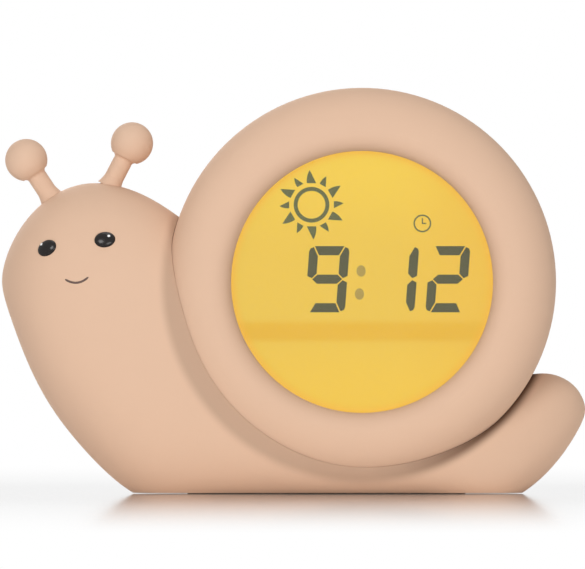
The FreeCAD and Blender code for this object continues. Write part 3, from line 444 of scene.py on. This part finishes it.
def cell_sleeve():
    """Sleeve of a battery cell: metal ends, a dark body and one copper band."""
    copper_from, bare_to, cap, edge = 30 * MM, 5.9 * MM, 1.2 * MM, 0.1 * MM
    finish = Finish("cell_sleeve", 0.3)
    tree = finish.tree
    parts = tree.nodes.new("ShaderNodeSeparateXYZ")
    tree.links.new(finish.place, parts.inputs[0])
    low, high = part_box("battery_cell_middle")
    x = parts.outputs["X"]
    copper = fade(tree, x, low.x + copper_from, low.x + copper_from + 2 * edge)
    sleeve = blended(tree, copper, srgb(40, 66, 72), srgb(176, 104, 58))
    ends = maths(tree, "ADD", fade(tree, x, low.x + bare_to, low.x + bare_to - edge),
                 fade(tree, x, high.x - cap, high.x - cap + edge), clamp=True)
    color = blended(tree, ends, sleeve, srgb(200, 200, 196))
    tone = finish.group(DRIFT, Color=color, Amount=0.12, Scale=80.0)
    surface = finish.group(GRAIN, Grain_Scale=1500.0, Base_Roughness=0.28, Handling=0.2)
    finish.link(tone.outputs["Color"], "Base Color")
    finish.link(ends, "Metallic")
    finish.link(surface.outputs["Roughness"], "Roughness")
    return finish.material


PEACH = srgb(227, 191, 164)


def make_materials():
    """Every finish, by its name here, with the CAD nodes that take it."""
    finishes = {
        "drum": soft_touch("soft_touch_drum", PEACH, True),
        "body": soft_touch("soft_touch_body", PEACH, True, with_crease_shade=True),
        "feeler": soft_touch("soft_touch_feeler", srgb(228, 193, 167), False),
        "key": moulding("key_silicone", srgb(214, 175, 148), 0.62, 6500.0, 0.00002),
        "icon": moulding("icon_print", srgb(250, 244, 236), 0.5, 9000.0, 0.000006),
        "eye": eye_gloss(),
        # Painted highlight: the white dots on the eyes
        "glint": moulding("painted_glint", srgb(250, 250, 250), 0.25, 9000.0, 0.000003),
        "smile": moulding("smile_print", srgb(92, 70, 62), 0.6, 9000.0, 0.000006),
        "pad": moulding("pad_rubber", srgb(150, 140, 132), 0.8, 2600.0, 0.00006),
        "window": clear_acrylic(),
        "glass": lit_display("lit_glass", True),
        "diffuser": lit_display("lit_diffuser", False),
        "ink": display_ink(),
        "white": moulding("white_moulding", srgb(236, 236, 232), 0.45),
        "black": moulding("black_moulding", srgb(34, 34, 36), 0.5),
        "cone": moulding("pressed_paper", srgb(48, 46, 46), 0.9, 1800.0, 0.0001),
        "ribbon": moulding("ribbon_film", srgb(198, 132, 62), 0.35, 900.0, 0.00001),
        "wire": moulding("wire_insulation", srgb(170, 40, 34), 0.4, 3000.0, 0.00001),
        "board": circuit_board(),
        "nickel": metal("bright_nickel", srgb(206, 205, 200)),
        "screw_steel": metal("screw_steel", srgb(176, 176, 178), 0.34, 2400.0),
        "cell": cell_sleeve(),
    }
    users = {
        "drum": ["ring_front", "drum_rear_shell"],
        "body": ["body_front_shell", "body_rear_shell"],
        "feeler": ["feeler_left", "feeler_right", "battery_door"],
        "key": [name for name in NODES if name.startswith("key_") and "board" not in name],
        "eye": ["eye_left", "eye_right"],
        "pad": ["base_pad", "speaker_gasket"],
        "window": ["display_lens"],
        "glass": ["lcd_panel"],
        "diffuser": ["light_diffuser"],
        "ink": ["lcd_symbols"],
        "white": ["light_chamber", "ribbon_connector", "night_light_leds"],
        "black": ["control_chip", "switch_bodies", "speaker_frame", "capacitors"]
                 + [name for name in NODES if name.startswith("plunger_")],
        "cone": ["speaker_cone"],
        "ribbon": ["lcd_ribbon"],
        "wire": ["key_board_wires", "speaker_wires"],
        "board": ["led_board", "main_board", "key_board_left", "key_board_right"],
        "nickel": ["quartz_crystal", "board_link_pins", "usb_socket", "battery_contacts",
                   "battery_springs", "speaker_magnet"],
        "screw_steel": ["board_screws", "body_screws", "drum_screws", "battery_door_screw"],
        "cell": ["battery_cell_lower", "battery_cell_middle", "battery_cell_upper"],
    }
    for finish, names in users.items():
        for name in names:
            for slot in NODES[name].material_slots:
                slot.material = finishes[finish]
    left_out = set(NODES) - {name for names in users.values() for name in names}
    assert not left_out, left_out
    return finishes


# Pieces made here

def new_piece(name, mesh, material, body):
    """Finished piece: its mesh in place, its finish, and the body that carries it."""
    piece = bpy.data.objects.new(name, mesh)
    bpy.context.scene.collection.objects.link(piece)
    mesh.materials.clear()
    mesh.materials.append(material)
    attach(piece, body)
    return piece


def mesh_from(builder, name, smooth=True):
    """Mesh of a filled bmesh, with its faces pointing outwards."""
    bmesh.ops.recalc_face_normals(builder, faces=builder.faces)
    mesh = bpy.data.meshes.new(name)
    builder.to_mesh(mesh)
    builder.free()
    for polygon in mesh.polygons:
        polygon.use_smooth = smooth
    return mesh


def skin_tree(node):
    """Search tree over a CAD node's surface."""
    mesh = NODES[node].data
    points = [vertex.co.copy() for vertex in mesh.vertices]
    faces = [tuple(polygon.vertices) for polygon in mesh.polygons]
    return BVHTree.FromPolygons(points, faces)


def on_skin(tree, x, z):
    """Point and outward direction on the front of a surface at a place."""
    point, normal, _, _ = tree.ray_cast(Vector((x, -1, z)), Vector((0, 1, 0)))
    return point, normal if normal.y < 0 else -normal


def swept_bead(builder, path, normals, radii, lift, sides=10):
    """Round bead along a path on a skin, with rounded ends, flattened to a print."""
    rings = []
    for index, (point, normal, radius) in enumerate(zip(path, normals, radii)):
        before = path[max(index - 1, 0)]
        after = path[min(index + 1, len(path) - 1)]
        along = (after - before).normalized()
        aside = along.cross(normal).normalized()
        ring = []
        for side in range(sides):
            turn = 2 * math.pi * side / sides
            offset = aside * math.cos(turn) * radius + normal * math.sin(turn) * lift
            ring.append(builder.verts.new(point + offset))
        rings.append(ring)
    for first, second in zip(rings, rings[1:]):
        for side in range(sides):
            nxt = (side + 1) % sides
            builder.faces.new((first[side], first[nxt], second[nxt], second[side]))
    builder.faces.new(rings[0])
    builder.faces.new(rings[-1])


def make_smile(finishes, tree):
    """The small smile, printed on the head along its curve."""
    steps = 28
    turn = math.radians(SMILE_TILT)
    path, normals, radii = [], [], []
    for index in range(steps + 1):
        share = 2 * index / steps - 1
        across = SMILE_SPREAD * share
        up = SMILE_DROP * (share ** 2 - 0.45)
        x = SMILE_CENTRE[0] + across * math.cos(turn) - up * math.sin(turn)
        z = SMILE_CENTRE[1] + across * math.sin(turn) + up * math.cos(turn)
        point, normal = on_skin(tree, x, z)
        path.append(point)
        normals.append(normal)
        radii.append(SMILE_STROKE * max(1 - abs(share) ** 20, 0.4))
    builder = bmesh.new()
    swept_bead(builder, path, normals, radii, SMILE_LIFT)
    new_piece("smile", mesh_from(builder, "smile"), finishes["smile"], HOUSING)


def make_glint(finishes, eye, x, z, radius):
    """Small white dot on an eye, a painted highlight."""
    point, normal = on_skin(skin_tree(eye), x, z)
    aside = normal.cross(Vector((0, 0, 1))).normalized()
    upward = aside.cross(normal)
    builder = bmesh.new()
    rings, sides = 4, 20
    rows = []
    for row in range(rings):
        reach = radius * math.cos(row / rings * math.pi / 2)
        lift = GLINT_LIFT * math.sin(row / rings * math.pi / 2)
        rows.append([builder.verts.new(point + normal * lift
                                       + aside * reach * math.cos(2 * math.pi * k / sides)
                                       + upward * reach * math.sin(2 * math.pi * k / sides))
                     for k in range(sides)])
    top = builder.verts.new(point + normal * GLINT_LIFT)
    for first, second in zip(rows, rows[1:]):
        for k in range(sides):
            nxt = (k + 1) % sides
            builder.faces.new((first[k], first[nxt], second[nxt], second[k]))
    for k in range(sides):
        builder.faces.new((rows[-1][k], rows[-1][(k + 1) % sides], top))
    base = builder.faces.new(rows[0][::-1])
    base.smooth = False
    new_piece("glint_" + eye, mesh_from(builder, "glint_" + eye), finishes["glint"], HOUSING)


# Icons on the keys, each a few flat outlines in a square that reaches from -1 to 1

def disc_outline(x, y, radius, first=0.0, last=360.0, steps=28):
    """Points round a circle or an arc, by degrees."""
    whole = abs(last - first) >= 360
    count = steps if whole else steps + 1
    return [(x + radius * math.cos(math.radians(first + (last - first) * k / steps)),
             y + radius * math.sin(math.radians(first + (last - first) * k / steps)))
            for k in range(count)]


def bar_outline(x0, y0, x1, y1, half):
    """Straight bar between two places."""
    length = math.hypot(x1 - x0, y1 - y0)
    ax, ay = -(y1 - y0) / length * half, (x1 - x0) / length * half
    return [(x0 + ax, y0 + ay), (x0 - ax, y0 - ay), (x1 - ax, y1 - ay), (x1 + ax, y1 + ay)]


def arc_band(x, y, radius, half, first=0.0, last=360.0):
    """Short bars that follow a circle or an arc."""
    steps = max(int(abs(last - first) / 12), 2)
    shapes = []
    for k in range(steps):
        a, b = (math.radians(first + (last - first) * (k + d) / steps) for d in (0, 1))
        inner, outer = radius - half, radius + half
        shapes.append([(x + r * math.cos(t), y + r * math.sin(t))
                       for r, t in ((outer, a), (outer, b), (inner, b), (inner, a))])
    return shapes


def icon_light():
    """A bulb."""
    return ([disc_outline(0, 0.22, 0.55, -50, 230), bar_outline(-0.28, -0.42, 0.28, -0.42, 0.09),
             bar_outline(-0.2, -0.66, 0.2, -0.66, 0.09)])


def icon_wake():
    """A bell."""
    dome = disc_outline(0, 0.12, 0.48, 0, 180) + [(-0.56, -0.4), (0.56, -0.4)]
    return [dome, bar_outline(-0.74, -0.48, 0.74, -0.48, 0.08), disc_outline(0, -0.7, 0.13)]


def icon_set():
    """A clock face."""
    hands = [bar_outline(0, -0.05, 0, 0.44, 0.07), bar_outline(-0.05, 0, 0.34, 0, 0.07)]
    return arc_band(0, 0, 0.68, 0.08) + hands


def icon_down():
    """A minus."""
    return [bar_outline(-0.58, 0, 0.58, 0, 0.13)]


def icon_up():
    """A plus."""
    return [bar_outline(-0.58, 0, 0.58, 0, 0.13), bar_outline(0, 0.13, 0, 0.58, 0.13),
            bar_outline(0, -0.13, 0, -0.58, 0.13)]


def icon_sound():
    """A loudspeaker with two waves."""
    horn = [(-0.7, -0.2), (-0.7, 0.2), (-0.42, 0.2), (-0.06, 0.52), (-0.06, -0.52), (-0.42, -0.2)]
    return [horn] + arc_band(-0.06, 0, 0.34, 0.06, -42, 42) + arc_band(-0.06, 0, 0.62, 0.06, -42, 42)


def make_key_icon(finishes, name, shapes):
    """Raised print on the top of one key. Seen from the rear, +X is to the left."""
    low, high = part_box("key_" + name)
    x, z = (low.x + high.x) / 2, (low.z + high.z) / 2
    size, thickness, sink = 2.1 * MM, 0.09 * MM, 0.02 * MM
    builder = bmesh.new()
    for shape in shapes:
        rows = [[builder.verts.new((x - px * size, y, z + py * size)) for px, py in shape]
                for y in (high.y - sink, high.y + thickness)]
        builder.faces.new(rows[0])
        builder.faces.new(rows[1][::-1])
        for k in range(len(shape)):
            nxt = (k + 1) % len(shape)
            builder.faces.new((rows[0][k], rows[1][k], rows[1][nxt], rows[0][nxt]))
    mesh = mesh_from(builder, "icon_" + name, smooth=False)
    new_piece("icon_" + name, mesh, finishes["icon"], name + "_key")


# Coils of the battery contacts, by Geometry Nodes

def spring_tree(material):
    """Tapered coil of round wire along +Z, the wire's two ends capped."""
    tree = bpy.data.node_groups.new("battery_spring_coil", "GeometryNodeTree")
    inputs = (("Wire Radius", 0.00028), ("Turns", 5.5), ("Wide Radius", 0.0041),
              ("Narrow Radius", 0.0024), ("Length", 0.0044))
    for label, value in inputs:
        socket = tree.interface.new_socket(label, in_out="INPUT", socket_type="NodeSocketFloat")
        socket.default_value = value
    tree.interface.new_socket("Geometry", in_out="OUTPUT", socket_type="NodeSocketGeometry")
    ends = tree.nodes.new("NodeGroupInput")
    out = tree.nodes.new("NodeGroupOutput")
    spiral = tree.nodes.new("GeometryNodeCurveSpiral")
    spiral.inputs["Resolution"].default_value = 36
    circle = tree.nodes.new("GeometryNodeCurvePrimitiveCircle")
    circle.inputs["Resolution"].default_value = 10
    sweep = tree.nodes.new("GeometryNodeCurveToMesh")
    sweep.inputs["Fill Caps"].default_value = True
    smooth = tree.nodes.new("GeometryNodeSetShadeSmooth")
    realize = tree.nodes.new("GeometryNodeRealizeInstances")
    paint = tree.nodes.new("GeometryNodeSetMaterial")
    paint.inputs["Material"].default_value = material
    link = tree.links.new
    link(ends.outputs["Turns"], spiral.inputs["Rotations"])
    link(ends.outputs["Wide Radius"], spiral.inputs["Start Radius"])
    link(ends.outputs["Narrow Radius"], spiral.inputs["End Radius"])
    link(ends.outputs["Length"], spiral.inputs["Height"])
    link(ends.outputs["Wire Radius"], circle.inputs["Radius"])
    link(spiral.outputs["Curve"], sweep.inputs["Curve"])
    link(circle.outputs["Curve"], sweep.inputs["Profile Curve"])
    link(sweep.outputs["Mesh"], smooth.inputs["Geometry"])
    link(smooth.outputs["Geometry"], realize.inputs["Geometry"])
    link(realize.outputs["Geometry"], paint.inputs["Geometry"])
    link(paint.outputs["Geometry"], out.inputs["Geometry"])
    return tree


def plain_mesh_of(tree, name):
    """Mesh that a tree makes, free of its modifier."""
    carrier = bpy.data.objects.new("carrier", bpy.data.meshes.new("carrier"))
    bpy.context.scene.collection.objects.link(carrier)
    modifier = carrier.modifiers.new("shape", "NODES")
    modifier.node_group = tree
    depsgraph = bpy.context.evaluated_depsgraph_get()
    mesh = bpy.data.meshes.new_from_object(carrier.evaluated_get(depsgraph))
    mesh.name = name
    bpy.data.objects.remove(carrier)
    return mesh


def make_springs(finishes):
    """Three coils in place of the plain cones, each from its wall to its cell."""
    wall_gap, wire_room = 5.0 * MM, 0.3 * MM
    coil = plain_mesh_of(spring_tree(finishes["nickel"]), "coil")
    builder = bmesh.new()
    for row in ("lower", "middle", "upper"):
        low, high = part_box("battery_cell_" + row)
        toward = 1 if row != "middle" else -1
        flat_end = low.x if toward > 0 else high.x
        centre_y, centre_z = (low.y + high.y) / 2, (low.z + high.z) / 2
        first = len(builder.verts)
        builder.from_mesh(coil)
        builder.verts.ensure_lookup_table()
        for vertex in builder.verts[first:]:
            aside, upward, along = vertex.co
            x = flat_end - toward * (wall_gap - wire_room - along)
            vertex.co = Vector((x, centre_y + aside, centre_z + upward))
    mesh = mesh_from(builder, "battery_spring_coils")
    piece = new_piece("battery_spring_coils", mesh, finishes["nickel"], HOUSING)
    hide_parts("battery_springs")


def make_pad_tread(finishes):
    """Non-slip pad with shallow ribs, inside a plain border, on the face that meets the table."""
    low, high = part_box("base_pad")
    depth, ribs, border = 0.25 * MM, 30, 1.4 * MM
    pitch = (high.x - low.x - 2 * border) / ribs
    builder = bmesh.new()
    profile = [(low.x, 0.0), (low.x + border, 0.0)]
    for index in range(ribs):
        start = low.x + border + index * pitch
        for share, level in ((0.08, 0.0), (0.22, depth), (0.46, depth), (0.6, 0.0)):
            profile.append((start + share * pitch, level))
    profile.append((high.x, 0.0))
    rows = []
    for y, groove in ((low.y, 0), (low.y + border, 0), (low.y + 1.3 * border, 1),
                      (high.y - 1.3 * border, 1), (high.y - border, 0), (high.y, 0)):
        bottom = [builder.verts.new((x, y, low.z + level * groove)) for x, level in profile]
        top = [builder.verts.new((x, y, high.z)) for x in (low.x, high.x)]
        rows.append((bottom, top))
    for (bottom, top), (next_bottom, next_top) in zip(rows, rows[1:]):
        for k in range(len(bottom) - 1):
            builder.faces.new((bottom[k], next_bottom[k], next_bottom[k + 1], bottom[k + 1]))
        builder.faces.new((top[0], top[1], next_top[1], next_top[0]))
        builder.faces.new((bottom[0], top[0], next_top[0], next_bottom[0]))
        builder.faces.new((bottom[-1], next_bottom[-1], next_top[1], top[1]))
    for bottom, top in (rows[0], rows[-1]):
        builder.faces.new(bottom + [top[1], top[0]])
    piece = new_piece("base_pad_tread", mesh_from(builder, "base_pad_tread", smooth=False),
                      finishes["pad"], HOUSING)
    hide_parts("base_pad")


# Studio

def floor_material():
    """White floor with a faint, fading mirror image and a soft shadow."""
    material = bpy.data.materials.new("studio_floor")
    material.use_nodes = True
    tree = material.node_tree
    tree.nodes.clear()
    out = tree.nodes.new("ShaderNodeOutputMaterial")
    place = tree.nodes.new("ShaderNodeTexCoord").outputs["Object"]
    parts = tree.nodes.new("ShaderNodeSeparateXYZ")
    tree.links.new(place, parts.inputs[0])
    radius = distance(tree, parts.outputs["X"], parts.outputs["Y"])
    paper = tree.nodes.new("ShaderNodeBsdfDiffuse")
    paper.inputs["Color"].default_value = srgb(250, 250, 250)
    white = tree.nodes.new("ShaderNodeEmission")
    white.inputs["Color"].default_value = (1, 1, 1, 1)
    rays = tree.nodes.new("ShaderNodeLightPath")
    seen = maths(tree, "ADD", rays.outputs["Is Camera Ray"], rays.outputs["Is Glossy Ray"], clamp=True)
    far = maths(tree, "ADD", maths(tree, "MULTIPLY", fade(tree, radius, *FLOOR_WHITENS), 0.5), 0.5)
    matt = tree.nodes.new("ShaderNodeMixShader")
    tree.links.new(maths(tree, "MULTIPLY", far, seen), matt.inputs[0])
    tree.links.new(paper.outputs[0], matt.inputs[1])
    tree.links.new(white.outputs[0], matt.inputs[2])
    mirror = tree.nodes.new("ShaderNodeBsdfGlossy")
    mirror.inputs["Color"].default_value = (0.92, 0.92, 0.92, 1)
    mirror.inputs["Roughness"].default_value = 0.05
    grazing = tree.nodes.new("ShaderNodeFresnel")
    grazing.inputs["IOR"].default_value = 1.4
    near = maths(tree, "SUBTRACT", 1.0, fade(tree, radius, *MIRROR_FADES))
    whole = tree.nodes.new("ShaderNodeMixShader")
    tree.links.new(maths(tree, "MULTIPLY", near, grazing.outputs[0]), whole.inputs[0])
    tree.links.new(matt.outputs[0], whole.inputs[1])
    tree.links.new(mirror.outputs[0], whole.inputs[2])
    tree.links.new(whole.outputs[0], out.inputs["Surface"])
    return material


def make_studio():
    """Floor, world light and soft lamps."""
    builder = bmesh.new()
    bmesh.ops.create_circle(builder, cap_ends=True, segments=96, radius=FLOOR_RADIUS)
    mesh = bpy.data.meshes.new("floor")
    builder.to_mesh(mesh)
    builder.free()
    mesh.materials.append(floor_material())
    floor = bpy.data.objects.new("floor", mesh)
    bpy.context.scene.collection.objects.link(floor)

    world = bpy.data.worlds.new("studio")
    bpy.context.scene.world = world
    world.use_nodes = True
    tree = world.node_tree
    tree.nodes.clear()
    out = tree.nodes.new("ShaderNodeOutputWorld")
    soft = tree.nodes.new("ShaderNodeBackground")
    soft.inputs["Color"].default_value = (1.0, 0.985, 0.97, 1)
    soft.inputs["Strength"].default_value = WORLD_STRENGTH
    white = tree.nodes.new("ShaderNodeBackground")
    white.inputs["Color"].default_value = (1, 1, 1, 1)
    rays = tree.nodes.new("ShaderNodeLightPath")
    seen = rays.outputs["Is Camera Ray"]
    for kind in ("Is Glossy Ray", "Is Transmission Ray"):
        seen = maths(tree, "ADD", seen, rays.outputs[kind], clamp=True)
    mix = tree.nodes.new("ShaderNodeMixShader")
    tree.links.new(seen, mix.inputs[0])
    tree.links.new(soft.outputs[0], mix.inputs[1])
    tree.links.new(white.outputs[0], mix.inputs[2])
    tree.links.new(mix.outputs[0], out.inputs["Surface"])

    for name, place, size, power in LAMPS:
        light = bpy.data.lights.new(name, "AREA")
        light.shape = "DISK"
        light.size = size
        light.energy = power
        lamp = bpy.data.objects.new(name, light)
        lamp.visible_camera = False
        lamp.location = place
        aim = LAMP_TARGET - Vector(place)
        lamp.rotation_euler = aim.to_track_quat("-Z", "Y").to_euler()
        bpy.context.scene.collection.objects.link(lamp)


def make_camera():
    """Level view from straight in front, through a long lens."""
    data = bpy.data.cameras.new("camera")
    data.sensor_width = SENSOR_WIDTH
    data.lens = data.sensor_width * CAMERA_DISTANCE / FRAME_WIDTH
    data.clip_end = CLIP_END
    camera = bpy.data.objects.new("camera", data)
    camera.location = EYE_LEVEL + Vector((0, -CAMERA_DISTANCE, 0))
    camera.rotation_euler = (math.radians(90), 0, 0)
    bpy.context.scene.collection.objects.link(camera)
    bpy.context.scene.camera = camera


def main():
    make_camera()
    make_studio()
    finishes = make_materials()
    head = skin_tree("body_front_shell")
    make_smile(finishes, head)
    for eye, x, z, radius in GLINTS:
        make_glint(finishes, eye, x, z, radius)
    icons = {"light": icon_light, "wake": icon_wake, "set": icon_set,
             "down": icon_down, "up": icon_up, "sound": icon_sound}
    for name, shapes in icons.items():
        make_key_icon(finishes, name, shapes())
    make_springs(finishes)
    make_pad_tread(finishes)
    bpy.context.scene.view_settings.view_transform = "Standard"


main()
